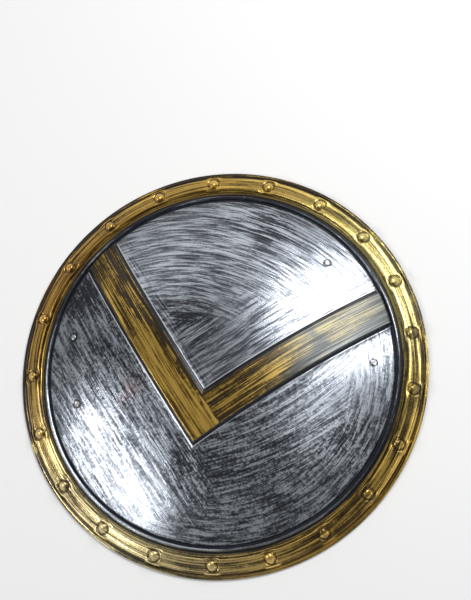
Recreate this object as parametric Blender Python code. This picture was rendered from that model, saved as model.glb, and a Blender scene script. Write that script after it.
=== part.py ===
"""Gladiator costume shield, lying face up.

One plastic moulding (flange, gold rim band with bosses, thin ring, dome and raised chevron) carries
two webbing straps on its hollow back. Each strap is held by two rivets, whose heads show on the face.

Frame: metres, +Z out of the face, origin at the centre of the rim's underside. +X runs along the
wearer's forearm, from the hand strap to the arm strap.
"""
import bpy
import bmesh
from math import cos, hypot, pi, radians, sin, sqrt
from mathutils import Matrix, Vector

# Shell: overall sizes
SHIELD_RADIUS = 0.260
WALL = 0.0025               # thickness of the moulded sheet
DOME_RADIUS = 0.219         # where the dome meets the rim
DOME_EDGE_HEIGHT = 0.0135   # the dome's edge above the floor
DOME_RISE = 0.055           # from the dome's edge to its crown
SPOKES = 84                 # facets round the rim
CAP_RADIUS = (DOME_RADIUS**2 + DOME_RISE**2) / (2 * DOME_RISE)
CAP_CENTRE = DOME_EDGE_HEIGHT + DOME_RISE - CAP_RADIUS

# Shell: the rim on the face, from the outer edge inwards (radius, height)
BAND_FOOT = 0.2543          # outer and inner limits of the gold band
BAND_CREST = 0.2362
RIM_FACE = (
    (SHIELD_RADIUS, 0.0022),    # outer edge of the flange
    (0.2576, 0.0024),           # bead on the flange
    (0.2564, 0.0032),
    (0.2552, 0.0024),
    (BAND_FOOT, 0.0026),
    (0.2514, 0.0073),           # outer shoulder of the gold band
    (0.2463, 0.0104),
    (0.2410, 0.0132),
    (BAND_CREST, 0.0146),
    (0.2318, 0.0108),           # channel
    (0.2284, 0.0108),
    (0.2270, 0.0134),           # thin ring
    (0.2248, 0.0146),
    (0.2228, 0.0134),
    (0.2218, 0.0110),           # groove at the dome's foot
    (0.2200, 0.0110),
    (DOME_RADIUS, DOME_EDGE_HEIGHT),
)

# Shell: the rim on the back, plainer, from the outer edge inwards (radius, height)
BACK_DOME_RADIUS = DOME_RADIUS - WALL / 2
RIM_BACK = (
    (SHIELD_RADIUS, 0.0),       # flat underside that the shield lies on
    (0.2524, 0.0),
    (0.2492, 0.0050),           # under the gold band
    (0.2452, 0.0078),
    (0.2398, 0.0105),
    (0.2360, 0.0118),
    (0.2322, 0.0082),           # under the channel, the thin ring and the groove
    (0.2206, 0.0082),
    (BACK_DOME_RADIUS, 0.0113),
)

# Bosses round the gold band
BOSS_COUNT = 21
BOSS_START = radians(-1.1)  # direction of the first boss, from +X
BOSS_CROWDING = radians(2.1)    # bosses lean towards +X by this much at most
BOSS_CIRCLE = 0.2440
BOSS_SEAT = 0.0116          # height of the band under a boss
BOSS_TILT = radians(25)     # slope of the band under a boss
BOSS_SIDES = 8
BOSS_PROFILE = ((0.0064, -0.0012), (0.0064, 0.0012), (0.0048, 0.0040), (0.0022, 0.0055))

# Chevron: a right-angled band, symmetric about a line through the centre
CHEVRON_ANGLE = radians(67.2)   # direction in which it opens, from +X
CHEVRON_APEX = -0.0712          # corner of its centre line, along that direction
CHEVRON_RELIEF = (              # distance from the centre line, height above the field
    (0.0202, 0.0022),           # edge of the flat top
    (0.0234, -0.0012),          # foot of the sloping flank, in a shallow groove
    (0.0244, 0.0),              # edge of the field
)

# Grid that facets the dome in plan
FACE_GRID = 0.020
BACK_GRID = 0.030

# Rivets, as (radius, height) from the face: domed head, shank, tail inside the strap
GAP = 0.0003                # air between touching pieces
STRAP_GAP = 0.0012          # air between the flat strap ends and the curved shell
WEBBING = 0.0020            # thickness of the straps
SHANK_RADIUS = 0.0016
TAIL_TOP = -WALL - STRAP_GAP - WEBBING - GAP
RIVET_PROFILE = (
    (0.0040, TAIL_TOP - 0.0012),
    (0.0040, TAIL_TOP),
    (SHANK_RADIUS, TAIL_TOP),
    (SHANK_RADIUS, GAP),
    (0.0036, GAP),
    (0.0034, 0.0010),
    (0.0022, 0.0018),
)
RIVET_SIDES = 12
HOLE_PROFILE = ((SHANK_RADIUS + GAP, -0.012), (SHANK_RADIUS + GAP, 0.004))

# Straps: the places of their two rivets (radius, angle from +X) and their width
STRAPS = {
    "hand": {"rivets": ((0.192, radians(156.4)), (0.183, radians(183.2))), "width": 0.030},
    "arm": {"rivets": ((0.188, radians(32.5)), (0.195, radians(-10.2))), "width": 0.036},
}
STRAP_END = 0.009           # from a rivet to the strap's end
STRAP_TAB = 0.008           # from a rivet to where the strap bends away from the shell
STRAP_STEPS = 10            # facets along each half of the free stretch
STRAP_SAG_HEIGHT = 0.0045   # the middle of a strap above the floor


def clear_scene():
    for obj in list(bpy.data.objects):
        bpy.data.objects.remove(obj, do_unlink=True)


def material(name, color, roughness, metallic=0.0):
    mat = bpy.data.materials.new(name)
    mat.use_nodes = True
    shader = mat.node_tree.nodes["Principled BSDF"]
    shader.inputs["Base Color"].default_value = (*color, 1.0)
    shader.inputs["Roughness"].default_value = roughness
    shader.inputs["Metallic"].default_value = metallic
    return mat


def add_object(name, bm, *materials):
    bmesh.ops.recalc_face_normals(bm, faces=bm.faces)
    mesh = bpy.data.meshes.new(name)
    bm.to_mesh(mesh)
    bm.free()
    for mat in materials:
        mesh.materials.append(mat)
    mesh.shade_smooth()
    mesh.set_sharp_from_angle(angle=radians(30))
    obj = bpy.data.objects.new(name, mesh)
    bpy.context.scene.collection.objects.link(obj)
    return obj


def add_cutter(name, bm):
    """A shape for a Boolean modifier, which is no piece of the shield itself."""
    obj = add_object(name, bm)
    obj.hide_render = True
    obj.display_type = "WIRE"
    return obj


def boolean(obj, operation, cutter):
    modifier = obj.modifiers.new(cutter.name, "BOOLEAN")
    modifier.operation = operation
    modifier.object = cutter


def profile_height(profile, radius):
    """Height of a rim profile at a radius, straight between its points."""
    for (outer, start), (inner, end) in zip(profile, profile[1:]):
        if radius >= inner:
            return start + (end - start) * (outer - radius) / (outer - inner)
    return profile[-1][1]


def dome_height(radius, depth=0.0):
    """Height of the spherical dome at a radius, or of the surface a given depth under it."""
    return CAP_CENTRE + sqrt((CAP_RADIUS - depth) ** 2 - radius**2)


def chevron_relief(x, y):
    """Height of the chevron's band and groove over the field."""
    along = x * cos(CHEVRON_ANGLE) + y * sin(CHEVRON_ANGLE) - CHEVRON_APEX
    across = abs(x * sin(CHEVRON_ANGLE) - y * cos(CHEVRON_ANGLE))
    distance = abs(across - along) / sqrt(2)
    flat_edge, raised = CHEVRON_RELIEF[0]
    if distance <= flat_edge:
        return raised
    for (near, start), (far, end) in zip(CHEVRON_RELIEF, CHEVRON_RELIEF[1:]):
        if distance <= far:
            return start + (end - start) * (distance - near) / (far - near)
    return 0.0


def face_height(x, y):
    radius = hypot(x, y)
    if radius > DOME_RADIUS - GAP:
        return profile_height(RIM_FACE, radius)
    return dome_height(radius) + chevron_relief(x, y)


def back_height(x, y):
    radius = hypot(x, y)
    if radius > BACK_DOME_RADIUS - GAP:
        return profile_height(RIM_BACK, radius)
    return dome_height(radius, WALL)


def spaced(low, high, spacing):
    """Evenly spaced places strictly between two limits."""
    count = round((high - low) / spacing)
    return [low + (high - low) * i / count for i in range(1, count)]


def face_cuts():
    """Cuts that divide the face's dome, as (place, direction of the cut's normal, side).

    Side 1 or -1 keeps a cut to one side of the chevron's axis, where the arm it outlines lies.
    """
    cuts = [(0.0, CHEVRON_ANGLE - pi / 2, 0)]
    middle = CHEVRON_APEX / sqrt(2)
    for side in (-1, 1):
        arm_normal = CHEVRON_ANGLE + side * pi / 4
        for distance, _ in CHEVRON_RELIEF:
            cuts += [(middle + distance, arm_normal, side), (middle - distance, arm_normal, side)]
        flat_edge = CHEVRON_RELIEF[0][0]
        foot = CHEVRON_RELIEF[-1][0]
        limits = (
            (-DOME_RADIUS, middle - foot),
            (middle - flat_edge, middle + flat_edge),
            (middle + foot, DOME_RADIUS),
        )
        for low, high in limits:
            cuts += [(place, arm_normal, 0) for place in spaced(low, high, FACE_GRID)]
    return cuts


def back_cuts():
    places = spaced(-DOME_RADIUS, DOME_RADIUS, BACK_GRID)
    return [(place, CHEVRON_ANGLE + turn, 0) for turn in (0.0, pi / 2) for place in places]


def add_sheet(bm, radii, cuts, height):
    """One face of the shell: rings of quads round a centre disc that straight cuts divide.

    It is laid out flat, triangulated, then raised to height(x, y). Returns its outer loop.
    """
    angles = [CHEVRON_ANGLE + 2 * pi * i / SPOKES for i in range(SPOKES)]
    loops = [[bm.verts.new((r * cos(a), r * sin(a), 0.0)) for a in angles] for r in radii]
    faces = []
    for outer, inner in zip(loops, loops[1:]):
        for i in range(SPOKES):
            faces.append(bm.faces.new((outer[i - 1], outer[i], inner[i], inner[i - 1])))
    disc = {bm.faces.new(loops[-1])}
    axis_normal = Vector((sin(CHEVRON_ANGLE), -cos(CHEVRON_ANGLE), 0.0))
    for place, direction, side in cuts:
        normal = Vector((cos(direction), sin(direction), 0.0))
        cut_faces = {f for f in disc if side * f.calc_center_median().dot(axis_normal) >= 0}
        geometry = {part for f in cut_faces for part in (*f.verts, *f.edges)} | cut_faces
        result = bmesh.ops.bisect_plane(
            bm, geom=list(geometry), dist=1e-5, plane_co=normal * place, plane_no=normal)
        disc |= {part for part in result["geom"] if isinstance(part, bmesh.types.BMFace)}
    result = bmesh.ops.triangulate(bm, faces=[*faces, *disc])
    for vert in {v for f in result["faces"] for v in f.verts}:
        vert.co.z = height(vert.co.x, vert.co.y)
    return loops[0]


def turned(bm, profile, sides, place=Matrix()):
    """A closed solid of revolution about its own Z axis, from (radius, height) points, base first."""
    loops = []
    for radius, z in profile:
        turns = [2 * pi * i / sides for i in range(sides)]
        loops.append([bm.verts.new(place @ Vector((radius * cos(t), radius * sin(t), z))) for t in turns])
    for lower, upper in zip(loops, loops[1:]):
        for i in range(sides):
            bm.faces.new((lower[i - 1], lower[i], upper[i], upper[i - 1]))
    bm.faces.new(reversed(loops[0]))
    bm.faces.new(loops[-1])


def boss_place(index):
    even = BOSS_START + 2 * pi * index / BOSS_COUNT
    turn = Matrix.Rotation(even - BOSS_CROWDING * sin(even), 4, "Z")
    seat = Matrix.Translation((BOSS_CIRCLE, 0.0, BOSS_SEAT))
    return turn @ seat @ Matrix.Rotation(BOSS_TILT, 4, "Y")


def rivet_place(radius, angle):
    """Frame of a rivet: origin on the dome's face, Z square to it."""
    turn = Matrix.Rotation(angle, 4, "Z")
    seat = Matrix.Translation((radius, 0.0, dome_height(radius)))
    normal = Vector((radius, 0.0, dome_height(radius) - CAP_CENTRE))
    return turn @ seat @ normal.to_track_quat("Z", "Y").to_matrix().to_4x4()


def build_shell(silver, gold):
    bm = bmesh.new()
    face_loop = add_sheet(bm, [r for r, _ in RIM_FACE], face_cuts(), face_height)
    back_loop = add_sheet(bm, [r for r, _ in RIM_BACK], back_cuts(), back_height)
    for i in range(SPOKES):
        bm.faces.new((face_loop[i - 1], face_loop[i], back_loop[i], back_loop[i - 1]))
    bmesh.ops.recalc_face_normals(bm, faces=bm.faces)
    for face in bm.faces:
        centre = face.calc_center_median()
        radius = hypot(centre.x, centre.y)
        on_band = BAND_CREST < radius < BAND_FOOT
        on_chevron = radius < DOME_RADIUS and chevron_relief(centre.x, centre.y) > 0
        face.material_index = int(face.normal.z > 0 and (on_band or on_chevron))
    shell = add_object("shield_shell", bm, silver, gold)

    bosses = bmesh.new()
    for index in range(BOSS_COUNT):
        turned(bosses, BOSS_PROFILE, BOSS_SIDES, boss_place(index))
    boolean(shell, "UNION", add_cutter("boss_domes", bosses))

    holes = bmesh.new()
    for strap in STRAPS.values():
        for radius, angle in strap["rivets"]:
            turned(holes, HOLE_PROFILE, RIVET_SIDES, rivet_place(radius, angle))
    boolean(shell, "DIFFERENCE", add_cutter("shell_rivet_holes", holes))


def bezier(points, t):
    a, b, c, d = points
    s = 1 - t
    return a * s**3 + b * (3 * s * s * t) + c * (3 * s * t * t) + d * t**3


def strap_sections(rivets):
    """Middle points of the webbing with its width direction, from one end to the other.

    The ends lie flat on the shell; between them the strap sags and levels out.
    """
    frames = [rivet_place(radius, angle) for radius, angle in rivets]
    depth = WALL + STRAP_GAP + WEBBING / 2
    seats = [frame @ Vector((0.0, 0.0, -depth)) for frame in frames]
    normals = [frame.to_3x3() @ Vector((0.0, 0.0, 1.0)) for frame in frames]
    span = seats[1] - seats[0]
    inward = [(way - way.dot(n) * n).normalized() for way, n in zip((span, -span), normals)]
    widths = [normals[0].cross(inward[0]), -normals[1].cross(inward[1])]
    bends = [seat + way * STRAP_TAB for seat, way in zip(seats, inward)]
    middle = (bends[0] + bends[1]) / 2
    middle.z = STRAP_SAG_HEIGHT
    reach = span.length / 5
    level = Vector((span.x, span.y, 0.0)).normalized() * reach
    halves = (
        (bends[0], bends[0] + inward[0] * reach, middle - level, middle),
        (middle, middle + level, bends[1] + inward[1] * reach, bends[1]),
    )
    steps = 2 * STRAP_STEPS
    free = [bezier(half, i / STRAP_STEPS) for half in halves for i in range(STRAP_STEPS)]
    sections = [(seats[0] - inward[0] * STRAP_END, widths[0])]
    for i, point in enumerate([*free, bends[1]]):
        across = widths[0].lerp(widths[1], i / steps)
        across.z *= cos(pi * i / steps) ** 2
        sections.append((point, across))
    sections.append((seats[1] - inward[1] * STRAP_END, widths[1]))
    return sections


def build_strap(name, strap, webbing):
    sections = strap_sections(strap["rivets"])
    bm = bmesh.new()
    loops = []
    for i, (centre, across) in enumerate(sections):
        before = sections[max(i - 1, 0)][0]
        after = sections[min(i + 1, len(sections) - 1)][0]
        up = (after - before).cross(across).normalized() * (WEBBING / 2)
        side = across.normalized() * (strap["width"] / 2)
        corners = (centre + side + up, centre - side + up, centre - side - up, centre + side - up)
        loops.append([bm.verts.new(corner) for corner in corners])
    for lower, upper in zip(loops, loops[1:]):
        for i in range(4):
            bm.faces.new((lower[i - 1], lower[i], upper[i], upper[i - 1]))
    bm.faces.new(loops[0])
    bm.faces.new(reversed(loops[-1]))
    obj = add_object(f"{name}_strap", bm, webbing)
    holes = bmesh.new()
    for radius, angle in strap["rivets"]:
        turned(holes, HOLE_PROFILE, RIVET_SIDES, rivet_place(radius, angle))
    boolean(obj, "DIFFERENCE", add_cutter(f"{name}_strap_holes", holes))


def build_rivets(name, strap, steel):
    for letter, (radius, angle) in zip("ab", strap["rivets"]):
        bm = bmesh.new()
        turned(bm, RIVET_PROFILE, RIVET_SIDES)
        rivet = add_object(f"{name}_rivet_{letter}", bm, steel)
        rivet.matrix_world = rivet_place(radius, angle)


def main():
    clear_scene()
    silver = material("dry-brushed silver plastic", (0.34, 0.35, 0.39), 0.38, 0.3)
    gold = material("dry-brushed gold plastic", (0.50, 0.33, 0.09), 0.35, 0.5)
    webbing = material("black elastic webbing", (0.015, 0.015, 0.017), 0.9)
    steel = material("nickelled steel", (0.62, 0.62, 0.64), 0.28, 1.0)
    build_shell(silver, gold)
    for name, strap in STRAPS.items():
        build_strap(name, strap, webbing)
        build_rivets(name, strap, steel)


main()
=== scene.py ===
"""Looks of the gladiator costume shield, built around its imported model.

The shield lies face up. The plastic moulding is one mesh that follows the CAD shell with a finer rim,
bosses and chevron; the straps and rivets are remade finer where they lie. All sizes are in metres.
"""
from math import atan2, copysign, cos, hypot, pi, radians, sin, sqrt

import bmesh
import bpy
from mathutils import Matrix, Vector


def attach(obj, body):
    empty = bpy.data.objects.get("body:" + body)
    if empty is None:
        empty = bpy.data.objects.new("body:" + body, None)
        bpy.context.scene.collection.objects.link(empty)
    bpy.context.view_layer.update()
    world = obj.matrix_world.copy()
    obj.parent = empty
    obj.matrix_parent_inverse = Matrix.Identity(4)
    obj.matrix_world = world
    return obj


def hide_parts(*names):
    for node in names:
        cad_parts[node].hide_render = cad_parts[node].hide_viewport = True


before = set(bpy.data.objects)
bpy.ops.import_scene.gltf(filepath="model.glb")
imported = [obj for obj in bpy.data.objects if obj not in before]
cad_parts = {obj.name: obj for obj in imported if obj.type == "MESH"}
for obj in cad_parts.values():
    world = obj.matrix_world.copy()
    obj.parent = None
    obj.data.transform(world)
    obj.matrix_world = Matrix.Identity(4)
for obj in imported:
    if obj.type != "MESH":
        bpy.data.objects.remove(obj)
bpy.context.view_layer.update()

# Shell sizes, as in the CAD model
SHIELD_RADIUS = 0.260
WALL = 0.0025
DOME_RADIUS = 0.219
DOME_EDGE_HEIGHT = 0.0135
DOME_RISE = 0.055
CAP_RADIUS = (DOME_RADIUS**2 + DOME_RISE**2) / (2 * DOME_RISE)
CAP_CENTRE = DOME_EDGE_HEIGHT + DOME_RISE - CAP_RADIUS

# Rim on the face, from the outer edge inwards: radius, height, share of gold paint, and wear, which
# runs from -1 in a recess that stays black to 1 on an edge that every brush stroke touches.
RIM_FACE = (
    (SHIELD_RADIUS, 0.0018, 0.8, -0.6),
    (0.2595, 0.0024, 1.0, 0.0),
    (0.2583, 0.0023, 1.0, -0.3),
    (0.2573, 0.0025, 1.0, -0.1),
    (0.2565, 0.0032, 1.0, 0.3),     # bead on the flange
    (0.2556, 0.0025, 1.0, -0.3),
    (0.2544, 0.0024, 0.9, -0.9),
    (0.2534, 0.0038, 0.9, -0.6),    # gold band
    (0.2520, 0.0072, 1.0, 0.3),
    (0.2509, 0.0082, 1.0, 1.0),
    (0.2495, 0.0085, 1.0, 0.0),
    (0.2420, 0.0127, 1.0, 0.0),
    (0.2382, 0.0146, 1.0, 0.1),
    (0.2368, 0.0150, 1.0, 1.0),
    (0.2353, 0.0139, 0.9, 0.1),
    (0.2326, 0.0109, 0.8, -0.35),   # channel
    (0.2300, 0.0108, 0.7, -0.4),
    (0.2282, 0.0107, 0.0, -1.0),
    (0.2269, 0.0132, 0.0, -0.5),    # thin ring
    (0.2249, 0.0146, 0.0, 0.4),
    (0.2229, 0.0132, 0.0, -0.5),
    (0.2219, 0.0109, 0.0, -1.0),    # groove at the dome's foot
    (0.2200, 0.0109, 0.0, -1.0),
    (0.2192, 0.0128, 0.0, 0.2),
    (0.2186, 0.0137, 0.0, 1.0),
)
FIELD_RADIUS = RIM_FACE[-1][0]
DOME_EDGE = 0.0009                  # width of the bright line along the dome's edge, a painted highlight on rubbed silver

# Rim on the back (radius, height)
RIM_BACK = (
    (SHIELD_RADIUS, 0.0004),
    (0.2596, 0.0),
    (0.2530, 0.0),
    (0.2516, 0.0008),
    (0.2494, 0.0052),
    (0.2452, 0.0079),
    (0.2398, 0.0106),
    (0.2366, 0.0120),
    (0.2346, 0.0109),
    (0.2328, 0.0084),
    (0.2206, 0.0083),
    (0.2180, 0.0112),
)
BACK_FIELD_RADIUS = RIM_BACK[-1][0]

# Shallow hollows that the chevron and the bosses leave on the back
ARM_HOLLOW = (0.0175, 0.0195, 0.0215)       # from an arm's centre line: full depth, halfway, none
ARM_HOLLOW_DEPTH = 0.0020
ARM_HOLLOW_FADE = 0.010             # length along which it fades out at the rim
BOSS_HOLLOW = (0.0015, 0.0050)      # from a boss's middle: full depth, and none
BOSS_HOLLOW_DEPTH = 0.0040

# Bosses round the gold band, from the middle of one outwards: distance, height above the band, gold, wear
BOSS_COUNT = 21
BOSS_START = radians(-1.1)
BOSS_CROWDING = radians(2.1)
BOSS_CIRCLE = 0.2440
BOSS_SHAPE = (
    (0.0000, 0.0053, 1.0, 1.0),
    (0.0019, 0.0050, 1.0, 0.9),
    (0.0037, 0.0041, 1.0, 0.8),
    (0.0052, 0.0025, 1.0, 0.5),
    (0.0062, 0.0006, 1.0, -0.3),
    (0.0068, -0.0005, 1.0, -0.65),
    (0.0075, -0.0007, 1.0, -0.65),  # moat
    (0.0082, -0.0003, 1.0, -0.3),
    (0.0090, 0.0001, 1.0, 0.0),
    (0.0098, 0.0001, 1.0, 0.0),
    (0.0106, 0.0, 1.0, 0.0),
)
BULGE = 0.0021                      # how far the band's edges move out beside a boss
BULGE_LENGTH = (0.0040, 0.0125)     # half of the bulge along the rim, where it is full and where it ends
BULGE_RISE = (0.0035, 0.0088)       # across the rim: where the band starts to stretch, and its moved edge
BULGE_END = (0.0092, 0.0124)        # and where the ground beside it is squeezed and is back in place

# Chevron: distance from the arm's centre line, height above the field, gold, wear
CHEVRON_ANGLE = radians(67.2)
CHEVRON_APEX = -0.0712
CHEVRON_SHAPE = (
    (0.0000, 0.0023, 1.0, 0.0),
    (0.0188, 0.0022, 1.0, 0.1),
    (0.0196, 0.0024, 1.0, 0.1),
    (0.0203, 0.0021, 0.8, 0.3),
    (0.0210, 0.0010, 0.2, -0.9),
    (0.0222, -0.0008, 0.0, -1.0),
    (0.0238, -0.0011, 0.0, -1.0),
    (0.0243, -0.0004, 0.0, -0.6),
    (0.0247, 0.0003, 0.0, 1.0),
    (0.0251, 0.0005, 0.0, 1.0),
    (0.0258, 0.0003, 0.0, 0.7),
    (0.0268, 0.0, 0.0, 0.0),
)
ARM_END = (0.2208, 0.2214)          # radii between which an arm's end drops into the groove

# Straps and their rivets: radius and angle on the face, and width
STRAPS = {
    "hand": {"rivets": ((0.192, radians(156.4)), (0.183, radians(183.2))), "width": 0.030},
    "arm": {"rivets": ((0.188, radians(32.5)), (0.195, radians(-10.2))), "width": 0.036},
}

# Mesh fineness
PATCH = 0.0126                      # half width of the finer mesh round a boss
PATCH_STEPS = 17                    # cells along each half of it
SPAN_STEPS = 7                      # cells between two bosses' finer meshes
RIM_STEP = 0.0008
BACK_RIM_STEP = 0.0026
FACE_GRID = 0.0042
BACK_GRID = 0.0085


def smoothstep(low, high, value):
    t = min(max((value - low) / (high - low), 0.0), 1.0)
    return t * t * (3 - 2 * t)


def curve_through(points):
    """A smooth curve through points (x, y, ...) that never overshoots them, as a function of x."""
    points = sorted(points)
    xs = [p[0] for p in points]
    ys = [p[1] for p in points]
    secants = [(ys[i + 1] - ys[i]) / (xs[i + 1] - xs[i]) for i in range(len(xs) - 1)]
    slopes = [0.0]
    for a, b in zip(secants, secants[1:]):
        slopes.append(2 * a * b / (a + b) if a * b > 0 else 0.0)
    slopes.append(secants[-1])

    def value(x):
        if x <= xs[0]:
            return ys[0]
        if x >= xs[-1]:
            return ys[-1]
        i = next(i for i in range(len(xs) - 1) if x <= xs[i + 1])
        width = xs[i + 1] - xs[i]
        t = (x - xs[i]) / width
        start = (1 + 2 * t) * (1 - t) ** 2 * ys[i] + t * t * (3 - 2 * t) * ys[i + 1]
        return start + width * (t * (1 - t) ** 2 * slopes[i] - t * t * (1 - t) * slopes[i + 1])

    return value


def table_column(points, column):
    """Straight-line reading of one column of a table whose first column is a distance."""
    points = sorted(points)

    def value(x):
        if x <= points[0][0]:
            return points[0][column]
        for low, high in zip(points, points[1:]):
            if x <= high[0]:
                t = (x - low[0]) / (high[0] - low[0])
                return low[column] + (high[column] - low[column]) * t
        return points[-1][column]

    return value


rim_face_height = curve_through(RIM_FACE)
rim_back_height = curve_through(RIM_BACK)
boss_height = curve_through(BOSS_SHAPE)
chevron_height = curve_through(CHEVRON_SHAPE)
RIM_PAINT = table_column(RIM_FACE, 2), table_column(RIM_FACE, 3)
BOSS_PAINT = table_column(BOSS_SHAPE, 2), table_column(BOSS_SHAPE, 3)
CHEVRON_PAINT = table_column(CHEVRON_SHAPE, 2), table_column(CHEVRON_SHAPE, 3)


def dome_height(radius, depth=0.0):
    """Height of the dome's face, or of a surface below it by a depth."""
    return CAP_CENTRE + sqrt((CAP_RADIUS - depth) ** 2 - radius**2)


def boss_angle(index):
    """Place of a boss round the rim. The even spacing drifts, so they crowd towards one side."""
    even = BOSS_START + 2 * pi * index / BOSS_COUNT
    return even - BOSS_CROWDING * sin(even)


def boss_offset(x, y):
    """Distances to the nearest boss's middle, along the rim and across it."""
    angle = atan2(y, x)
    near = round((angle - BOSS_START) / (2 * pi) * BOSS_COUNT)
    turns = (abs((angle - boss_angle(near + i) + pi) % (2 * pi) - pi) for i in (-1, 0, 1))
    return min(turns) * BOSS_CIRCLE, hypot(x, y) - BOSS_CIRCLE


def chevron_distance(x, y):
    """Distance from the centre line of the chevron's nearer arm."""
    along = x * cos(CHEVRON_ANGLE) + y * sin(CHEVRON_ANGLE) - CHEVRON_APEX
    across = abs(x * sin(CHEVRON_ANGLE) - y * cos(CHEVRON_ANGLE))
    return abs(across - along) / sqrt(2)


def rim_surface(x, y):
    """Height, gold and wear of the rim with its bosses."""
    along, across = boss_offset(x, y)
    beside = smoothstep(BULGE_LENGTH[1], BULGE_LENGTH[0], along)
    beside *= smoothstep(*BULGE_RISE, abs(across)) * smoothstep(BULGE_END[1], BULGE_END[0], abs(across))
    profile = BOSS_CIRCLE + across - copysign(BULGE * beside, across)
    distance = hypot(along, across)
    gold, wear = (column(profile) for column in RIM_PAINT)
    if distance < BOSS_SHAPE[-1][0]:
        boss_gold, boss_wear = (column(distance) for column in BOSS_PAINT)
        share = smoothstep(BOSS_SHAPE[-1][0], BOSS_SHAPE[-3][0], distance)
        gold += (boss_gold - gold) * share
        wear += (boss_wear - wear) * share
    return rim_face_height(profile) + boss_height(distance), gold, wear


def face_surface(x, y):
    """Height, gold and wear of the shield's face."""
    radius = hypot(x, y)
    distance = chevron_distance(x, y)
    gold, wear = (column(distance) for column in CHEVRON_PAINT)
    if radius < FIELD_RADIUS:
        return dome_height(radius) + chevron_height(distance), gold, wear
    height, rim_gold, rim_wear = rim_surface(x, y)
    arm = dome_height(min(radius, ARM_END[1])) + chevron_height(distance)
    if gold > 0 and radius < ARM_END[1] and arm > height:
        share = smoothstep(ARM_END[1], ARM_END[0], radius)
        return height + (arm - height) * share, gold * share, wear + (rim_wear - wear) * (1 - share)
    return height, rim_gold, rim_wear


def back_surface(x, y):
    """Height, gold and wear of the back: hollow under the chevron and bosses, and without paint."""
    radius = hypot(x, y)
    if radius < BACK_FIELD_RADIUS:
        fade = smoothstep(BACK_FIELD_RADIUS, BACK_FIELD_RADIUS - ARM_HOLLOW_FADE, radius)
        share = smoothstep(ARM_HOLLOW[-1], ARM_HOLLOW[0], chevron_distance(x, y))
        return dome_height(radius, WALL) + share * ARM_HOLLOW_DEPTH * fade, 0.0, 0.0
    share = smoothstep(BOSS_HOLLOW[1], BOSS_HOLLOW[0], hypot(*boss_offset(x, y)))
    return rim_back_height(radius) + share * BOSS_HOLLOW_DEPTH, 0.0, 0.0


# Mesh of the shell

def spaced(low, high, spacing):
    """Evenly spaced places strictly between two limits."""
    count = max(round((high - low) / spacing), 1)
    return [low + (high - low) * i / count for i in range(1, count)]


def column_angles():
    """Angles of the rim's columns, close together at the bosses."""
    angles = []
    half = PATCH / BOSS_CIRCLE
    for index in range(BOSS_COUNT):
        here, after = boss_angle(index), boss_angle(index + 1)
        angles += [here + half * i / PATCH_STEPS for i in range(-PATCH_STEPS, PATCH_STEPS)]
        start, end = here + half, after - half
        angles += [start + (end - start) * i / SPAN_STEPS for i in range(SPAN_STEPS)]
    return angles


def row_radii(profile, step):
    """Radii of the rim's rows: every point of its profile, and steps between them."""
    rows = []
    for (outer, *_), (inner, *_) in zip(profile, profile[1:]):
        rows.append(outer)
        rows += reversed(spaced(inner, outer, step))
    return rows + [profile[-1][0]]


def arm_lines(spacing, reach, marks):
    """Straight cuts across the disc: each one's place, direction and whether it follows the chevron."""
    middle = CHEVRON_APEX / sqrt(2)
    lines = []
    for side in (-1, 1):
        direction = CHEVRON_ANGLE + side * pi / 4
        edges = sorted({middle + sign * mark for mark in marks for sign in (-1, 1)})
        lines += [(place, direction, True) for place in edges]
        stops = [-reach, edges[0], *edges[1:], reach]
        for low, high in zip(stops, stops[1:]):
            lines += [(place, direction, False) for place in spaced(low, high, spacing)]
    lines.append((0.0, CHEVRON_ANGLE - pi / 2, True))
    return lines


def add_sheet(bm, rows, lines, surface):
    """One side of the shell, laid out flat and raised to its surface. Returns its outer loop.

    Rings of quads surround a disc that straight lines divide; the lines along the chevron's edges
    also divide the innermost rings, which the ends of the arms reach.
    """
    gold = bm.verts.layers.float["gold"]
    wear = bm.verts.layers.float["wear"]
    columns = column_angles()
    loops = [[bm.verts.new((radius * cos(a), radius * sin(a), 0.0)) for a in columns] for radius in rows]
    rings, reached = [], []
    for row, (outer, inner) in enumerate(zip(loops, loops[1:])):
        ring = reached if rows[row] < ARM_END[1] + RIM_STEP / 2 else rings
        for i in range(len(outer)):
            ring.append(bm.faces.new((outer[i - 1], outer[i], inner[i], inner[i - 1])))
    disc = {bm.faces.new(loops[-1])}
    near = disc | set(reached)
    for place, direction, edge in sorted(lines, key=lambda line: not line[2]):
        normal = Vector((cos(direction), sin(direction), 0.0))
        faces = near if edge else disc
        geometry = {part for f in faces for part in (*f.verts, *f.edges)} | faces
        result = bmesh.ops.bisect_plane(
            bm, geom=list(geometry), dist=1e-6, plane_co=normal * place, plane_no=normal)
        new = {part for part in result["geom"] if isinstance(part, bmesh.types.BMFace)}
        if edge:
            near |= new
            inside = rows[-1] ** 2
            disc = {f for f in near if f.calc_center_median().length_squared < inside * 0.9999}
        else:
            disc |= new
    result = bmesh.ops.triangulate(bm, faces=[*rings, *(near | disc)])
    for vert in {v for f in result["faces"] for v in f.verts}:
        vert.co.z, vert[gold], vert[wear] = surface(vert.co.x, vert.co.y)
    return loops[0]


def new_sheet_mesh():
    bm = bmesh.new()
    bm.verts.layers.float.new("gold")
    bm.verts.layers.float.new("wear")
    return bm


def add_piece(name, bm, *materials, crease=radians(60)):
    mesh = bpy.data.meshes.new(name)
    bm.to_mesh(mesh)
    bm.free()
    for mat in materials:
        mesh.materials.append(mat)
    mesh.shade_smooth()
    mesh.set_sharp_from_angle(angle=crease)
    piece = bpy.data.objects.new(name, mesh)
    bpy.context.scene.collection.objects.link(piece)
    return piece


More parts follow.
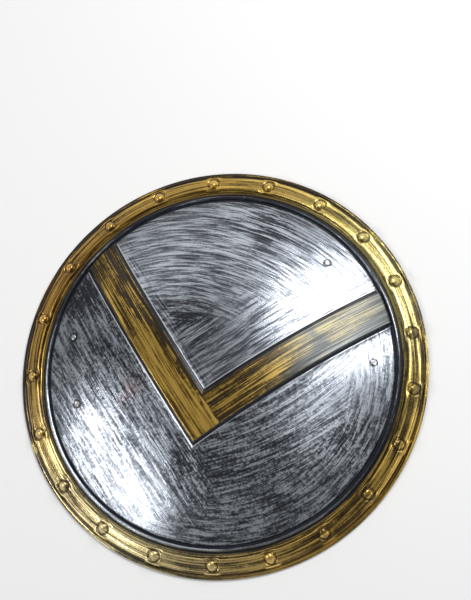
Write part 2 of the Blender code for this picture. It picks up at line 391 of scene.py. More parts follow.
def build_shell(face_paint, back_plastic):
    bm = new_sheet_mesh()
    marks = [mark for mark, *_ in CHEVRON_SHAPE if mark > 0]
    face_lines = arm_lines(FACE_GRID, FIELD_RADIUS, marks)
    face_rows = [*row_radii(RIM_FACE, RIM_STEP), FIELD_RADIUS - DOME_EDGE]
    face_loop = add_sheet(bm, face_rows, face_lines, face_surface)
    face_count = len(bm.faces)
    back_lines = arm_lines(BACK_GRID, BACK_FIELD_RADIUS, ARM_HOLLOW)
    back_loop = add_sheet(bm, row_radii(RIM_BACK, BACK_RIM_STEP), back_lines, back_surface)
    bm.faces.ensure_lookup_table()
    for face in bm.faces[face_count:]:
        face.material_index = 1
    for i in range(len(face_loop)):
        bm.faces.new((face_loop[i - 1], face_loop[i], back_loop[i], back_loop[i - 1]))
    bmesh.ops.recalc_face_normals(bm, faces=bm.faces)
    shell = add_piece("moulded_shell", bm, face_paint, back_plastic)
    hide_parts("shield_shell")
    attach(shell, "root")


# Node materials

class Paint:
    """A node material, with short calls for the nodes that make it."""

    def __init__(self, name, **settings):
        self.material = bpy.data.materials.new(name)
        self.material.use_nodes = True
        self.tree = self.material.node_tree
        self.shader = self.tree.nodes["Principled BSDF"]
        for socket, value in settings.items():
            self.shader.inputs[socket.replace("_", " ")].default_value = value

    def node(self, kind, *values, output=0, **settings):
        """A node of a kind, with its settings and the values of its first inputs."""
        node = self.tree.nodes.new(kind)
        for setting, value in settings.items():
            setattr(node, setting, value)
        for socket, value in zip(node.inputs, values):
            self.fill(socket, value)
        return node.outputs[output]

    def fill(self, socket, value):
        if isinstance(value, bpy.types.NodeSocket):
            self.tree.links.new(value, socket)
        elif value is not None:
            socket.default_value = value

    def math(self, operation, *values):
        return self.node("ShaderNodeMath", *values, operation=operation)

    def total(self, *values):
        result = values[0]
        for value in values[1:]:
            result = self.math("ADD", result, value)
        return result

    def product(self, *values):
        result = values[0]
        for value in values[1:]:
            result = self.math("MULTIPLY", result, value)
        return result

    def step(self, value, low, high, start=0.0, end=1.0):
        """start below low, end above high, and a smooth change between them."""
        values = (value, low, high, start, end)
        return self.node("ShaderNodeMapRange", *values, interpolation_type="SMOOTHSTEP")

    def mix(self, share, a, b):
        """Mix of two numbers."""
        return self.node("ShaderNodeMix", share, None, a, b, data_type="FLOAT")

    def blend(self, share, a, b):
        """Mix of two colours."""
        node = self.tree.nodes.new("ShaderNodeMix")
        node.data_type = "RGBA"
        self.fill(node.inputs[0], share)
        self.fill(node.inputs[6], a)
        self.fill(node.inputs[7], b)
        return node.outputs[2]

    def choose(self, share, a, b):
        """Mix of two vectors."""
        node = self.tree.nodes.new("ShaderNodeMix")
        node.data_type = "VECTOR"
        self.fill(node.inputs[0], share)
        self.fill(node.inputs[4], a)
        self.fill(node.inputs[5], b)
        return node.outputs[1]

    def vector(self, x, y, z=0.0):
        return self.node("ShaderNodeCombineXYZ", x, y, z)

    def noise(self, vector, scale=1.0, detail=2.0, roughness=0.5, distortion=0.0):
        node = self.tree.nodes.new("ShaderNodeTexNoise")
        for name, value in (("Vector", vector), ("Scale", scale), ("Detail", detail),
                            ("Roughness", roughness), ("Distortion", distortion)):
            self.fill(node.inputs[name], value)
        return node.outputs["Fac"]

    def attribute(self, name):
        return self.node("ShaderNodeAttribute", output=2, attribute_name=name)

    def bump(self, height, distance, strength=1.0):
        node = self.tree.nodes.new("ShaderNodeBump")
        node.inputs["Strength"].default_value = strength
        node.inputs["Distance"].default_value = distance
        self.fill(node.inputs["Height"], height)
        self.fill(self.shader.inputs["Normal"], node.outputs[0])

    def finish(self, **sockets):
        for socket, value in sockets.items():
            self.fill(self.shader.inputs[socket.replace("_", " ")], value)
        return self.material


def streaks(p, route, length, width, seed, soft):
    """Brush streaks, 0 to 1, drawn out along a route (two places along it, one across it, in metres)."""
    fine = (1 / length, 1 / length, 1 / width)
    scaled = p.node("ShaderNodeVectorMath", route, fine, operation="MULTIPLY")
    placed = p.node("ShaderNodeVectorMath", scaled, (seed * 7.3, seed * 3.1, seed), operation="ADD")
    return p.step(p.noise(placed, detail=3.0, roughness=0.55), 0.5 - soft, 0.5 + soft)


def strokes(p, routes, wander, length, width, seed, soft):
    """Streaks along the first route that give way to the others by their shares and wander sideways."""
    sideways = p.vector(0.0, 0.0, wander)
    value = 0.0
    for i, (route, share) in enumerate(routes):
        bent = p.node("ShaderNodeVectorMath", route, sideways, operation="ADD")
        value = p.mix(share, value, streaks(p, bent, length, width, seed + i, soft))
    return value


def clouds(p, place, scale, detail, spread):
    """Noise from 0 to 1, whose middle values are spread over the whole range."""
    return p.step(p.noise(place, scale=scale, detail=detail, roughness=0.6), 0.5 - spread, 0.5 + spread)


# Brushwork on the face, with places and sizes in metres. Inside the chevron the strokes bend round
# SWEEP_CENTRE and turn along each arm near it. Outside it they bend round LOWER_CENTRE, and turn round
# the shield near the rim and along the left arm on that arm's side.
ARM_HALF_WIDTH = 0.0203
CORNER_EDGE = 0.0190                # where the left arm's gold ends on the right arm
LEFT_ARM_START = 0.0220             # beyond this place along the left arm, all gold is that arm's
SWEEP_CENTRE = (-0.080, -0.100)
LOWER_CENTRE = (-0.035, 0.240)
SWEEP_REACH = 0.22                  # radius at which a bent stroke has its true length
LONG_STROKES = 0.5                  # strokes on rim and arms are longer, by one over this
DRIFT = 0.08                        # range of the uneven shift that frays the regions' edges
TURN_ROUND_RIM = (0.150, 0.190)     # radii from where strokes start to turn to where all have turned
TURN_ALONG_RIGHT = (0.078, 0.042)   # the same in y, inside the chevron
TURN_ALONG_LEFT = (0.046, 0.026)    # the same across the left arm, inside the chevron
LEFT_SIDE_X = (-0.014, -0.048)      # the same in x and in y, outside the chevron
LEFT_SIDE_Y = (-0.195, -0.155)
WANDER = 0.012                      # range of the sideways waves in the strokes

# Sizes of a stroke, seed of its pattern and softness of its edges
FINE_STROKES = {"length": 0.042, "width": 0.0015, "seed": 1.0, "soft": 0.10}
CROSSING_STROKES = {"length": 0.034, "width": 0.0032, "seed": 5.0, "soft": 0.13}
BROAD_STROKES = {"length": 0.060, "width": 0.0075, "seed": 9.0, "soft": 0.20}

# How full the coats are, from 0 to 1, and where they are thinner or fuller
INSIDE_SILVER = 0.62
OUTSIDE_SILVER = 0.56
RING_SILVER = (0.13, 0.70)          # on the thin ring: everywhere, and added at the lower left
LEFT_GOLD = 0.90
RIGHT_GOLD = 0.44
BAND_GOLD = 0.92
BAND_GOLD_DROPS = (                       # angle round the band in degrees, and how much less gold it has there: darker at the lower right and the left
    (-40, 0.48),
    (170, 0.38),
)
FLANGE_GOLD = (0.03, 0.93)          # everywhere, and added at the bottom
FLANGE_START = (0.2532, 0.2545)     # radii between which the band's gold gives way to the flange's
THIN_GOLD_AND_SHEEN_REACH = (0.050, 0.180, 0.0, 0.9)      # from and to which place along the right arm, and shares
SILVER_CONTRAST = (3.6, 2.2)        # how streaky thin silver is, and what a dry spot adds
GOLD_CONTRAST = (5.4, -2.6)         # how streaky the gold is, and what thin gold changes
EDGE_COAT = 0.95                    # paint on the edges that strokes touch
DRY_SPOTS = (                       # x, y, radius and depth of places where the undercoat shows more
    (-0.022, 0.062, 0.055, 0.48),
    (0.030, 0.180, 0.060, 0.10),
    (0.000, 0.120, 0.050, 0.14),
    (0.095, 0.165, 0.060, 0.48),
    (-0.150, 0.130, 0.060, 0.24),
    (-0.125, 0.050, 0.090, 0.26),
    (-0.085, -0.015, 0.055, 0.20),
    (0.010, -0.130, 0.130, 0.30),
    (-0.050, -0.110, 0.050, 0.12),
    (0.145, -0.125, 0.060, 0.30),
    (-0.133, 0.162, 0.036, 0.55),
    (-0.165, 0.130, 0.034, 0.48),
)
FULL_SPOTS = (                      # places where the silver is full, in the same way
    (-0.115, -0.150, 0.080, 0.34),
    (0.160, 0.080, 0.060, 0.14),
    (0.168, -0.040, 0.085, 0.36),
)
RIVET_SHADE_RING = (0.0076, 2.2)          # radius and depth of the painted shade round a rivet's head: a ring with less silver
SMUDGES = (                         # reddish marks in the silver
    (-0.100, -0.006, 0.022, 1.0),
    (-0.118, -0.024, 0.014, 0.6),
)

# Colours of the face
UNDERCOAT = (0.004, 0.006, 0.014, 1)
SILVER = (0.42, 0.460, 0.53, 1), (0.69, 0.750, 0.83, 1)             # between and in the crossing strokes
SMUDGE = (0.42, 0.19, 0.15, 1)
# Pale silver for the edges that strokes touch: rubbed silver, painted paler than the coat as a highlight
EDGE_SILVER_AND_HIGHLIGHT = (0.88, 0.89, 0.90, 1)
GOLD = (0.44, 0.24, 0.028, 1), (1.00, 0.65, 0.13, 1)                # between and in the strokes
GOLD_GROUND = (0.008, 0.006, 0.004, 1), (0.020, 0.012, 0.004, 1)
# Painted light on the rim's gold: a darker orange shade at the upper left, pale highlights at the right
# and lower left
RIM_PAINTED_LIGHT = (                       # angle round the rim in degrees, narrowness, share and colour
    (142, 8, 0.42, (0.66, 0.28, 0.04, 1)),
    (18, 4, 1.0, (0.85, 0.71, 0.25, 1)),
    (228, 4, 1.0, (0.95, 0.79, 0.40, 1)),
)
THIN_GOLD_AND_SHEEN = (0.205, 0.200, 0.125, 1)                                # towards the right arm's end, paler as a painted sheen on the thin gold
GREY_SHEEN = (0.022, 0.027, 0.030, 1), (0.125, 0.148, 0.162, 1)      # and what shows through it there: the black, with a painted grey sheen


class Face:
    """Where a point of the face lies, as node values: places in metres, and masks from 0 to 1."""

    def __init__(self, p):
        self.place = p.node("ShaderNodeTexCoord", output=3)
        self.x, self.y, _ = split(p, self.place)
        self.radius = distance_from(p, self.x, self.y, (0.0, 0.0))
        self.angle = p.math("ARCTAN2", self.y, self.x)

        # u runs along the right arm and v along the left one, both from where their middles meet
        corner = CHEVRON_APEX / sqrt(2)
        along_right = turned_axis(p, self.x, self.y, CHEVRON_ANGLE - pi / 4)
        along_left = turned_axis(p, self.x, self.y, CHEVRON_ANGLE + pi / 4)
        self.u = p.math("SUBTRACT", along_right, corner)
        self.v = p.math("SUBTRACT", along_left, corner)

        # drift shifts the places where one way of brushing gives way to another
        cloud = p.noise(self.place, scale=24.0, detail=4.0)
        self.drift = p.product(p.math("SUBTRACT", cloud, 0.5), DRIFT)

        # The fields inside and outside the chevron, and the rim from the arms' ends outwards
        nearer = p.math("MINIMUM", self.u, self.v)
        self.inside = p.math("GREATER_THAN", nearer, ARM_HALF_WIDTH)
        self.outside = p.math("LESS_THAN", nearer, -ARM_HALF_WIDTH)
        self.rim = p.math("GREATER_THAN", self.radius, ARM_END[1])
        off_rim = p.math("SUBTRACT", 1.0, self.rim)
        self.open_field = p.product(p.math("MAXIMUM", self.inside, self.outside), off_rim)
        self.speckled = p.product(self.outside, off_rim)

        # Gold of the left arm, and the right arm's thinner gold towards its end, which also carries a
        # painted sheen
        before_corner = p.math("LESS_THAN", self.u, CORNER_EDGE)
        past_corner = p.math("GREATER_THAN", self.u, CORNER_EDGE)
        up_left_arm = p.math("GREATER_THAN", self.v, LEFT_ARM_START)
        self.on_left_arm = p.math("MAXIMUM", before_corner, up_left_arm)
        self.thin_gold_and_sheen = p.product(past_corner, p.step(self.u, *THIN_GOLD_AND_SHEEN_REACH), off_rim)


def brush_routes(p, face):
    """Routes of the fine and of the crossing strokes, each with the share that it takes over."""
    along_left = p.vector(face.v, 0.0, face.u)
    along_right = p.vector(face.u, 0.0, face.v)
    on_left = p.vector(p.product(face.v, LONG_STROKES), 0.0, face.u)
    on_right = p.vector(p.product(face.u, LONG_STROKES), 0.0, face.v)
    on_arms = p.choose(face.on_left_arm, on_right, on_left)
    sweep = ring_route(p, face, SWEEP_CENTRE, SWEEP_REACH)
    lower_sweep = ring_route(p, face, LOWER_CENTRE, SWEEP_REACH)
    round_field = ring_route(p, face, (0.0, 0.0), SWEEP_REACH)
    round_rim = ring_route(p, face, (0.0, 0.0), BOSS_CIRCLE * LONG_STROKES)
    off_rim = p.choose(face.outside, p.choose(face.inside, on_arms, sweep), lower_sweep)
    first = p.choose(face.rim, off_rim, round_rim)
    second = p.choose(face.inside, round_field, along_right)

    near_rim = p.step(p.total(face.radius, face.drift), *TURN_ROUND_RIM)
    near_right = p.step(p.total(face.y, face.drift), *TURN_ALONG_RIGHT)
    near_left = p.step(p.total(face.u, face.drift), *TURN_ALONG_LEFT)
    left_side = p.product(p.step(p.total(face.x, face.drift), *LEFT_SIDE_X),
                          p.step(p.total(face.y, face.drift), *LEFT_SIDE_Y))
    turned = p.product(p.mix(face.inside, near_rim, near_right), face.open_field)
    beside = p.product(p.mix(face.inside, left_side, near_left), face.open_field)
    common = ((first, 1.0), (second, turned))
    return (*common, (along_left, beside)), (*common, (along_left, p.product(left_side, face.speckled)))


def brush_marks(p, face):
    """Fine, crossing and broad brush marks, each 0 to 1."""
    fine_routes, crossing_routes = brush_routes(p, face)
    wave = p.math("SUBTRACT", p.noise(face.place, scale=13.0, detail=1.0), 0.5)
    wander = p.product(wave, WANDER, face.open_field)
    fine = strokes(p, fine_routes, wander, **FINE_STROKES)
    crossing = strokes(p, crossing_routes, p.product(wander, -1.0), **CROSSING_STROKES)
    broad = strokes(p, fine_routes[:2], wander, **BROAD_STROKES)
    return fine, crossing, broad


def brush_load(p, face, fine, crossing, broad, patches, grain):
    """Paint in the brush, above 0 where it leaves more than the coat and below 0 where it leaves less."""
    mottle = clouds(p, face.place, 170.0, 3.0, 0.18)
    return p.total(
        -1.02,
        p.product(fine, p.mix(face.speckled, 0.72, 0.48)),
        p.product(crossing, 0.54),
        p.product(broad, 0.25),
        p.product(patches, 0.27),
        p.product(grain, p.mix(face.speckled, 0.26, 0.56)),
        p.product(p.math("SUBTRACT", mottle, 0.5), p.mix(face.speckled, 0.15, 0.40)),
    )


def brushed(p, coat, load, contrast):
    """Paint that the brush left, 0 to 1: even where the coat is full, sparse streaks where it is thin."""
    thin = p.product(contrast, p.total(1.0, p.product(coat, -0.75)))
    streaky = p.math("EXPONENT", p.product(load, thin))
    return p.math("MINIMUM", p.product(p.math("MAXIMUM", coat, 0.04), streaky), 1.0)


def worn_edges(p, face):
    """How surely strokes touch an edge, less so below the right arm, and how far they reach a recess."""
    wear = p.attribute("wear")
    below_right = p.math("LESS_THAN", face.v, -ARM_HALF_WIDTH)
    touched = p.mix(below_right, 1.0, p.step(face.u, 0.0, 0.05, 1.0, 0.2))
    return p.product(p.step(wear, 0.3, 1.0), touched), p.step(wear, -0.9, 0.0, 0.02, 1.0)


def silver_coat(p, face, dry):
    """How full the silver coat is. On the thin ring it is full only at the lower left; round each rivet
    it is thinner, as painted shade.
    """
    everywhere, added = RING_SILVER
    ring = p.total(everywhere, p.product(lobe(p, face.angle, 225), added))
    rivets = [spot for strap in STRAPS.values() for spot in strap["rivets"]]
    # rings of painted shade round the rivets' heads
    rivet_shades = [(radius * cos(turn), radius * sin(turn), *RIVET_SHADE_RING) for radius, turn in rivets]
    return p.total(
        p.mix(face.rim, p.mix(face.outside, INSIDE_SILVER, OUTSIDE_SILVER), ring),
        p.product(dry, -1.0),
        p.product(soft_spots(p, face, rivet_shades), -1.0),
        soft_spots(p, face, FULL_SPOTS),
    )


def silver_paint(p, face, crossing, patches, raised):
    """Colour of the silver, with its smudges and its bright edges: rubbed silver painted paler as a
    highlight.
    """
    smudge = p.product(soft_spots(p, face, SMUDGES), patches)
    paint = p.blend(smudge, p.blend(crossing, *SILVER), SMUDGE)
    # edges that strokes touch are painted pale, as a highlight
    return p.blend(raised, paint, EDGE_SILVER_AND_HIGHLIGHT)


def gold_coat(p, face):
    """How full the gold coat is, on the chevron and on the rim."""
    u = p.total(face.u, face.drift)
    v = p.total(face.v, p.product(face.drift, 0.3))
    return p.mix(face.rim, arm_gold(p, u, v, face.on_left_arm), rim_gold(p, face.angle, face.radius))


def arm_gold(p, u, v, on_left_arm):
    """Gold on the chevron: full on the left arm but for its inner side and end, thin on the right one."""
    # On the left arm the bare strip along the inner side widens outwards
    strip = p.total(0.0205, p.product(v, -0.085))
    beside_strip = p.step(p.math("SUBTRACT", u, strip), -0.008, 0.003, 1.0, 0.05)
    left = p.product(LEFT_GOLD, beside_strip, p.step(v, 0.03, 0.23, 1.0, 0.14))

    # The right arm is barer after the corner, along its lower side, in a gap and at its end
    start = p.step(u, 0.020, 0.100, 0.60, 0.0)
    below = p.product(p.step(v, 0.0, -0.016), p.step(u, 0.05, 0.10), 0.85)
    gap = p.product(p.step(u, 0.152, 0.170), p.step(u, 0.196, 0.176), 0.80)
    end = p.step(u, 0.200, 0.275, 0.0, 0.70)
    bare = p.math("MINIMUM", p.total(below, gap, end, start), 0.96)
    right = p.product(RIGHT_GOLD, p.math("SUBTRACT", 1.0, bare))
    return p.mix(on_left_arm, right, left)


def rim_gold(p, angle, radius):
    """Gold on the rim: less of it at the lower right and at the left, and on the flange only at the
    bottom.
    """
    less_gold = [p.product(lobe(p, angle, centre), -gone) for centre, gone in BAND_GOLD_DROPS]
    band = p.total(BAND_GOLD, *less_gold)
    everywhere, added = FLANGE_GOLD
    flange = p.total(everywhere, p.product(lobe(p, angle, -75), added))
    return p.mix(p.step(radius, *FLANGE_START), band, flange)


def gold_paint(p, face, fine, crossing):
    """Colour of the gold, which differs round the rim by painted shade and highlights and on the right
    arm by a painted sheen.
    """
    marks = p.total(p.product(crossing, 0.5), p.product(fine, 0.5))
    paint = p.blend(marks, *GOLD)
    # painted shade and highlights round the rim
    for angle, power, share, colour in RIM_PAINTED_LIGHT:
        painted_light_share = p.product(lobe(p, face.angle, angle, power), face.rim, share)
        paint = p.blend(painted_light_share, paint, colour)
    # towards the right arm's end the gold is paler, as a painted sheen
    return p.blend(face.thin_gold_and_sheen, paint, THIN_GOLD_AND_SHEEN)


def brushed_face():
    """Black undercoat, dry-brushed in silver on the field and gold on rim and chevron, under varnish."""
    p = Paint("brushed_face", Specular_IOR_Level=0.3, Coat_Weight=0.6, Coat_Roughness=0.22)
    face = Face(p)
    fine, crossing, broad = brush_marks(p, face)
    patches = clouds(p, face.place, 22.0, 4.0, 0.18)
    grain = clouds(p, face.place, 330.0, 3.0, 0.16)
    load = brush_load(p, face, fine, crossing, broad, patches, grain)
    raised, reached = worn_edges(p, face)

    dry = soft_spots(p, face, DRY_SPOTS)
    contrast = p.total(SILVER_CONTRAST[0], p.product(dry, SILVER_CONTRAST[1]))
    silver = brushed(p, silver_coat(p, face, dry), load, contrast)
    silver = p.mix(raised, p.product(silver, reached), EDGE_COAT)
    silver_tone = p.blend(silver, UNDERCOAT, silver_paint(p, face, crossing, patches, raised))

    contrast = p.total(GOLD_CONTRAST[0], p.product(face.thin_gold_and_sheen, GOLD_CONTRAST[1]))
    gilt = brushed(p, gold_coat(p, face), load, contrast)
    gilt = p.mix(raised, p.product(gilt, reached), EDGE_COAT)
    # on the right arm's end the black between strokes is painted grey, as a sheen
    gold_ground_and_sheen = p.blend(face.thin_gold_and_sheen, p.blend(patches, *GOLD_GROUND), p.blend(fine, *GREY_SHEEN))
    gold_tone = p.blend(gilt, gold_ground_and_sheen, gold_paint(p, face, fine, crossing))

    rough_edge = p.product(p.math("SUBTRACT", grain, 0.5), 0.15)
    is_gold = p.step(p.total(p.attribute("gold"), rough_edge), 0.30, 0.60)
    covered = p.mix(is_gold, silver, gilt)

    # Paint is metal; the gold is a little less so near the chevron's corner and low on the rim
    flat_arm = p.product(face.on_left_arm, p.step(face.v, 0.030, 0.140, 0.13, 0.0))
    flat_gold = p.mix(face.rim, flat_arm, p.product(lobe(p, face.angle, 250), 0.10))
    metal = p.step(covered, 0.0, 0.08, 0.0, 0.97)
    dull_film = p.product(face.thin_gold_and_sheen, is_gold)
    roughness = p.mix(dull_film, p.mix(covered, 0.30, 0.27), 0.48)
    p.bump(p.total(p.product(fine, 0.6), p.product(covered, 0.4)), distance=0.00012, strength=0.6)
    return p.finish(
        Base_Color=p.blend(is_gold, silver_tone, gold_tone),
        Metallic=p.math("SUBTRACT", metal, p.product(flat_gold, gilt, is_gold)),
        Roughness=p.mix(raised, roughness, 0.42),
    )


def lobe(p, angle, centre, power=1):
    """1 at an angle round the shield (degrees), 0 from a quarter turn away, narrower by its power."""
    near = p.math("MAXIMUM", p.math("COSINE", p.math("SUBTRACT", angle, radians(centre))), 0.0)
    return p.math("POWER", near, power)


def distance_from(p, x, y, centre):
    dx = p.math("SUBTRACT", x, centre[0])
    dy = p.math("SUBTRACT", y, centre[1])
    return p.math("SQRT", p.total(p.product(dx, dx), p.product(dy, dy)))


def ring_route(p, face, centre, reach):
    """Route of strokes that bend round a centre, without a seam."""
    distance = distance_from(p, face.x, face.y, centre)
    scale = p.math("DIVIDE", reach, distance)
    across_x = p.product(p.math("SUBTRACT", face.x, centre[0]), scale)
    across_y = p.product(p.math("SUBTRACT", face.y, centre[1]), scale)
    return p.vector(across_x, across_y, distance)


def split(p, vector):
    """The x, y and z of a vector."""
    node = p.tree.nodes.new("ShaderNodeSeparateXYZ")
    p.fill(node.inputs[0], vector)
    return node.outputs


def turned_axis(p, x, y, angle):
    """Coordinate along a direction on the face."""
    return p.total(p.product(x, cos(angle)), p.product(y, sin(angle)))


def soft_spots(p, face, spots):
    """Soft round spots (x, y, radius, depth), added up."""
    values = []
    for x, y, radius, depth in spots:
        values.append(p.step(distance_from(p, face.x, face.y, (x, y)), 0.0, radius, depth, 0.0))
    return p.total(*values)


BACK_PLASTIC = (0.016, 0.016, 0.018, 1), (0.034, 0.034, 0.037, 1)
OVERSPRAY = (0.30, 0.31, 0.33, 1)
OVERSPRAY_REACH = (0.235, 0.262)    # radii where it starts and where it would be full


def moulded_back():
    """Bare black plastic of the back, satin with fine moulding grain and a little silver overspray."""
    p = Paint("moulded_back", Roughness=0.5)
    place = p.node("ShaderNodeTexCoord", output=3)
    cloud = p.noise(place, scale=9.0, detail=4.0)
    grain = p.noise(place, scale=700.0, detail=2.0)
    x, y, _ = split(p, place)
    radius = distance_from(p, x, y, (0.0, 0.0))
    specks = p.step(p.noise(place, scale=260.0, detail=3.0), 0.45, 0.7)
    reached = p.product(p.step(radius, *OVERSPRAY_REACH), specks, 0.5)
    p.bump(p.total(grain, p.product(cloud, 2.0)), distance=0.00010, strength=0.5)
    return p.finish(
        Base_Color=p.blend(reached, p.blend(cloud, *BACK_PLASTIC), OVERSPRAY),
        Roughness=p.step(cloud, 0.3, 0.7, 0.40, 0.58),
    )


# Straps and rivets
STRAP_GAP = 0.0012                  # between the wall and the webbing at a rivet
WEBBING = 0.0020                    # its thickness
STRAP_END = 0.009                   # webbing beyond a rivet
STRAP_TAB = 0.008                   # straight webbing on the rivet's other side
STRAP_SAG_HEIGHT = 0.0045           # height of the middle of a strap
STRAP_HANDLES = 5                   # a strap's span over the length of its curve's handles
STRAP_STEPS = 90                    # rows of mesh along each half of a strap
CORD = 0.0020                       # width of one lengthwise cord of the webbing
CORD_STEPS = 4
CORD_RELIEF = 0.00028               # depth of the valleys between cords
WEBBING_EDGE = 0.45                 # thickness at the very edge, as a share of the full one
WEFT = 0.0012                       # length of one weft rib and the gap after it
WEBBING_TONES = (0.008, 0.008, 0.009, 1), (0.050, 0.050, 0.054, 1)
NICKEL = (0.72, 0.72, 0.74, 1)
TARNISH = (0.42, 0.41, 0.40, 1)

RIVET_SIDES = 48
TAIL = -WALL - STRAP_GAP - WEBBING
RIVET_SHAPE = (                     # radius, height from the face, tail first
    (0.0011, TAIL - 0.0014),
    (0.0022, TAIL - 0.0015),
    (0.0027, TAIL - 0.0011),
    (0.0026, TAIL - 0.0008),
    (0.0036, TAIL - 0.0007),
    (0.0041, TAIL - 0.0004),
    (0.0040, TAIL - 0.0002),
    (0.0017, TAIL - 0.0002),
    (0.0017, 0.0000),
    (0.0034, 0.0000),
    (0.0037, 0.0004),
    (0.0035, 0.0010),
    (0.0029, 0.0014),
    (0.0021, 0.0015),
    (0.0017, 0.0012),
    (0.0011, 0.0012),
    (0.0007, 0.0015),
)


def rivet_place(radius, angle):
    """Frame of a rivet: origin on the dome's face, Z square to it."""
    turn = Matrix.Rotation(angle, 4, "Z")
    seat = Matrix.Translation((radius, 0.0, dome_height(radius)))
    normal = Vector((radius, 0.0, dome_height(radius) - CAP_CENTRE))
    return turn @ seat @ normal.to_track_quat("Z", "Y").to_matrix().to_4x4()


def build_rivet(name, radius, angle, steel):
    place = rivet_place(radius, angle)
    bm = bmesh.new()
    loops = []
    for r, z in RIVET_SHAPE:
        turns = [2 * pi * i / RIVET_SIDES for i in range(RIVET_SIDES)]
        loops.append([bm.verts.new(place @ Vector((r * cos(t), r * sin(t), z))) for t in turns])
    for lower, upper in zip(loops, loops[1:]):
        for i in range(RIVET_SIDES):
            bm.faces.new((lower[i - 1], lower[i], upper[i], upper[i - 1]))
    bm.faces.new(reversed(loops[0]))
    bm.faces.new(loops[-1])
    rivet = add_piece(f"{name}_head_and_tail", bm, steel, crease=radians(50))
    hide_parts(name)
    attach(rivet, "root")


def bezier(points, t):
    a, b, c, d = points
    s = 1 - t
    return a * s**3 + b * (3 * s * s * t) + c * (3 * s * t * t) + d * t**3


def strap_sections(rivets):
    """Middle points of the webbing with its width direction, from one end to the other."""
    # At each rivet the webbing lies flat under the dome and points at the other rivet
    frames = [rivet_place(radius, angle) for radius, angle in rivets]
    depth = WALL + STRAP_GAP + WEBBING / 2
    seats = [place @ Vector((0.0, 0.0, -depth)) for place in frames]
    normals = [place.to_3x3() @ Vector((0.0, 0.0, 1.0)) for place in frames]
    span = seats[1] - seats[0]
    inward = [(way - way.dot(n) * n).normalized() for way, n in zip((span, -span), normals)]
    widths = [normals[0].cross(inward[0]), -normals[1].cross(inward[1])]

    # Between the bends it hangs in two curves that meet level in the middle
    bends = [seat + way * STRAP_TAB for seat, way in zip(seats, inward)]
    middle = (bends[0] + bends[1]) / 2
    middle.z = STRAP_SAG_HEIGHT
    reach = span.length / STRAP_HANDLES
    level = Vector((span.x, span.y, 0.0)).normalized() * reach
    halves = (
        (bends[0], bends[0] + inward[0] * reach, middle - level, middle),
        (middle, middle + level, bends[1] + inward[1] * reach, bends[1]),
    )
    steps = 2 * STRAP_STEPS
    free = [bezier(half, i / STRAP_STEPS) for half in halves for i in range(STRAP_STEPS)]

    # The straight ends come before and after; the width turns evenly in between, level in the middle
    tab = STRAP_END + STRAP_TAB
    tab_steps = round(tab / CORD * 2)
    start, end = seats[0] - inward[0] * STRAP_END, seats[1] - inward[1] * STRAP_END
    sections = [(start + inward[0] * tab * i / tab_steps, widths[0]) for i in range(tab_steps)]
    for i, point in enumerate([*free, bends[1]]):
        across = widths[0].lerp(widths[1], i / steps)
        across.z *= cos(pi * i / steps) ** 2
        sections.append((point, across))
    for i in range(1, tab_steps + 1):
        sections.append((end + inward[1] * tab * (1 - i / tab_steps), widths[1]))
    return sections


def webbing_outline(width):
    """Outline of the webbing's section as (sideways, upwards): cords side by side and flatter edges."""
    cords = round(width / CORD)
    count = cords * CORD_STEPS
    outline = []
    for face in (1, -1):
        for j in range(count + 1):
            share = j / count if face > 0 else 1 - j / count
            valley = abs(cos(pi * cords * share)) ** 3
            edge = min(share, 1 - share) * width
            thick = WEBBING / 2 * min(1.0, WEBBING_EDGE + edge / CORD) - CORD_RELIEF * valley
            outline.append(((0.5 - share) * width, face * thick))
    return outline


def build_strap(name, strap, webbing):
    """One strap, whose vertices also keep their place along and across the webbing for its weave."""
    sections = strap_sections(strap["rivets"])
    outline = webbing_outline(strap["width"])
    bm = bmesh.new()
    weave = bm.verts.layers.float_vector.new("weave")
    loops = []
    run = 0.0
    for i, (centre, across) in enumerate(sections):
        before = sections[max(i - 1, 0)][0]
        after = sections[min(i + 1, len(sections) - 1)][0]
        run += (centre - before).length
        up = (after - before).cross(across).normalized()
        side = across.normalized()
        loop = []
        for sideways, upwards in outline:
            vert = bm.verts.new(centre + side * sideways + up * upwards)
            vert[weave] = (run, -sideways, 0.0)
            loop.append(vert)
        loops.append(loop)
    for lower, upper in zip(loops, loops[1:]):
        for j in range(len(lower)):
            bm.faces.new((lower[j - 1], lower[j], upper[j], upper[j - 1]))
    bm.faces.new(loops[0])
    bm.faces.new(reversed(loops[-1]))
    bmesh.ops.recalc_face_normals(bm, faces=bm.faces)
    piece = add_piece(f"{name}_webbing", bm, webbing, crease=radians(75))
    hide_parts(f"{name}_strap")
    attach(piece, "root")


def elastic_webbing():
    """Black woven elastic: weft ribs across the cords, with faded crowns and lint."""
    p = Paint("elastic_webbing", Roughness=0.85, Sheen_Weight=0.35, Sheen_Roughness=0.5)
    weave = p.node("ShaderNodeAttribute", output=1, attribute_name="weave")
    along, across, _ = split(p, weave)
    weft = p.math("SINE", p.product(along, 2 * pi / WEFT))
    offset = p.math("SINE", p.product(across, 2 * pi / CORD))
    rib = p.total(p.product(weft, offset, 0.5), 0.5)
    fuzz = p.noise(weave, scale=2200.0, detail=2.0)
    fade = p.noise(weave, scale=60.0, detail=3.0)
    tone = p.total(p.product(rib, 0.5), p.product(fuzz, 0.35), p.product(fade, 0.35))
    p.bump(p.total(rib, p.product(fuzz, 0.5)), distance=0.00018, strength=0.8)
    return p.finish(Base_Color=p.blend(p.step(tone, 0.3, 1.0), *WEBBING_TONES))


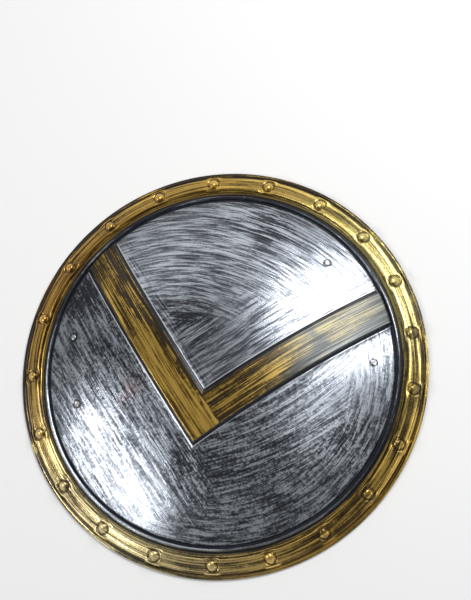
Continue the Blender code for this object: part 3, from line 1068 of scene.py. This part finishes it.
def nickelled_steel():
    """Nickel plate with fine scuffs and a little tarnish."""
    p = Paint("nickelled_steel", Metallic=1.0)
    place = p.node("ShaderNodeTexCoord", output=3)
    scuffs = p.noise(place, scale=1600.0, detail=4.0, roughness=0.7)
    stain = p.noise(place, scale=260.0, detail=3.0)
    p.bump(scuffs, distance=0.00003, strength=0.5)
    return p.finish(
        Base_Color=p.blend(p.step(stain, 0.35, 0.65), NICKEL, TARNISH),
        Roughness=p.step(scuffs, 0.3, 0.7, 0.20, 0.42),
    )


def build_shield():
    build_shell(brushed_face(), moulded_back())
    webbing, steel = elastic_webbing(), nickelled_steel()
    for name, strap in STRAPS.items():
        build_strap(name, strap, webbing)
        for letter, (radius, angle) in zip("ab", strap["rivets"]):
            build_rivet(f"{name}_rivet_{letter}", radius, angle, steel)


# Stage

FLOOR_SIZE = 12.0
FLOOR_DROP = 0.0005                 # air between the flange and the floor
CAMERA_AZIMUTH = radians(-62.18)    # where the camera stands, as seen from the shield
CAMERA_ELEVATION = radians(71.82)
CAMERA_ROLL = radians(-38.81)
VIEW = (                            # the camera's own axes as columns: right, up and back
    Matrix.Rotation(CAMERA_AZIMUTH + pi / 2, 3, "Z")
    @ Matrix.Rotation(pi / 2 - CAMERA_ELEVATION, 3, "X")
    @ Matrix.Rotation(CAMERA_ROLL, 3, "Z")
)
VIEW_OFFSET = Vector((-0.0172, -0.0900, -2.2593))       # the shield's origin in those axes
LENS_HEIGHTS = 3.0                  # focal length over the picture's height
SENSOR_HEIGHT = 24.0
LIGHTS = (                          # name, where it stands and which way its height runs (both right, up,
                                    # back in the camera's axes), size, power
    ("left_softbox", (-0.86, -0.19, 0.49), (-0.25, 0.54, -0.24), (0.34, 1.8), 21.0),
    ("right_softbox", (0.34, 0.66, 0.66), (0.0, 1.0, 0.0), (1.5, 1.5), 52.0),
    ("top_softbox", (-0.35, 0.90, 0.25), (0.0, 0.0, 1.0), (2.6, 1.6), 6.0),
    ("front_softbox", (0.22, 0.12, 0.97), (0.0, 1.0, 0.0), (0.9, 1.0), 2.2),
)
LIGHT_DISTANCE = 2.6
STUDIO_FILL = 0.22                  # strength of the even light from all round
FLOOR_TONES = (0.92, 0.92, 0.92, 1), (0.94, 0.94, 0.94, 1)


def build_floor():
    bm = bmesh.new()
    bmesh.ops.create_grid(bm, x_segments=1, y_segments=1, size=FLOOR_SIZE / 2)
    p = Paint("pale_floor", Roughness=0.7)
    place = p.node("ShaderNodeTexCoord", output=3)
    tone = p.noise(place, scale=3.0, detail=2.0)
    floor = add_piece("floor", bm, p.finish(Base_Color=p.blend(tone, *FLOOR_TONES)))
    floor.location.z = -FLOOR_DROP


def build_camera():
    camera = bpy.data.cameras.new("camera")
    camera.sensor_fit = "VERTICAL"
    camera.sensor_height = SENSOR_HEIGHT
    camera.lens = SENSOR_HEIGHT * LENS_HEIGHTS
    camera.clip_end = 50.0
    holder = bpy.data.objects.new("camera", camera)
    place = VIEW.to_4x4()
    place.translation = -(VIEW @ VIEW_OFFSET)
    holder.matrix_world = place
    bpy.context.scene.collection.objects.link(holder)
    bpy.context.scene.camera = holder


def build_lights():
    for name, direction, upward, (width, height), power in LIGHTS:
        light = bpy.data.lights.new(name, "AREA")
        light.shape = "RECTANGLE"
        light.size, light.size_y = width, height
        light.energy = power
        back = Vector(direction).normalized()
        up = (Vector(upward) - back * back.dot(upward)).normalized()
        turn = VIEW @ Matrix((up.cross(back), up, back)).transposed()
        holder = bpy.data.objects.new(name, light)
        holder.matrix_world = Matrix.Translation(turn.col[2] * LIGHT_DISTANCE) @ turn.to_4x4()
        bpy.context.scene.collection.objects.link(holder)
    world = bpy.data.worlds.new("studio")
    world.use_nodes = True
    background = world.node_tree.nodes["Background"]
    background.inputs["Color"].default_value = (1.0, 1.0, 1.0, 1.0)
    background.inputs["Strength"].default_value = STUDIO_FILL
    bpy.context.scene.world = world
    bpy.context.scene.view_settings.view_transform = "Standard"


build_shield()
build_floor()
build_lights()
build_camera()
